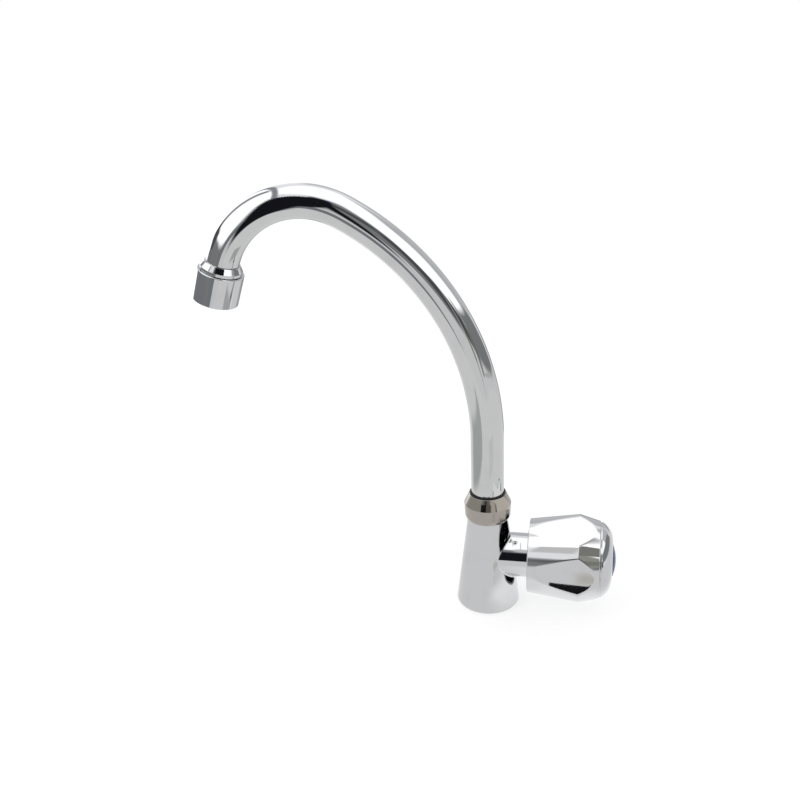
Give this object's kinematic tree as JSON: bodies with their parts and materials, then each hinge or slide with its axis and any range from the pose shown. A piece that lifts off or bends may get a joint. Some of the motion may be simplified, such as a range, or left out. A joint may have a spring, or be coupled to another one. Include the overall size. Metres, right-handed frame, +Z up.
{
  "type": "kitchen tap",
  "caption": "Deck-mounted single kitchen tap with a high swivel spout, an aerator and a side knob that turns a ceramic headwork a quarter turn.",
  "frame": {"origin": "middle of the base face, on the axis of the column", "axes": "+Z up along the column, +X out through the knob, the spout reaches along -X at rest, -Y faces the user"},
  "size_m": [0.2539, 0.0526, 0.2661],
  "materials": {
    "chrome_body": "polished",
    "chrome_tube": "polished",
    "nickel_nut": "satin",
    "steel": "satin",
    "brass": "machined",
    "black_rubber": "matt",
    "white_plastic": "matt",
    "ceramic": "polished",
    "chrome_knob": "chrome plated",
    "blue_index": "gloss"
  },
  "bodies": {
    "tap_body": {"body": "chrome_body", "base_seal": "black_rubber", "grub_screws": "steel", "union_nut": "nickel_nut", "wiper_ring": "black_rubber", "thrust_washer": "white_plastic", "headwork_housing": "brass", "headwork_gasket": "white_plastic", "seat_seal": "black_rubber", "fixed_disc": "ceramic"},
    "spout": {"spout_tube": "chrome_tube", "spout_spigot": "brass", "spigot_rings": "black_rubber", "slip_ring": "white_plastic", "outlet_collar": "chrome_body", "aerator_housing": "chrome_body", "aerator_washer": "black_rubber", "aerator_insert": "white_plastic", "aerator_screens": "steel", "outlet_grille": "white_plastic"},
    "handle": {"knob_shell": "chrome_knob", "spline_insert": "brass", "handle_screw": "steel", "index_cap": "blue_index", "spindle": "brass", "spindle_rings": "black_rubber", "snap_ring": "steel", "disc_driver": "white_plastic", "moving_disc": "ceramic"}
  },
  "joints": [
    {"name": "spout_swivel", "type": "hinge", "parent": "tap_body", "child": "spout", "pos_m": [0, 0, 0.0734], "axis": [0, 0, 1], "continuous": true},
    {"name": "handle_turn", "type": "hinge", "parent": "tap_body", "child": "handle", "pos_m": [0.0277, 0, 0.0338], "axis": [1, 0, 0], "range_deg": [0, 90]}
  ]
}
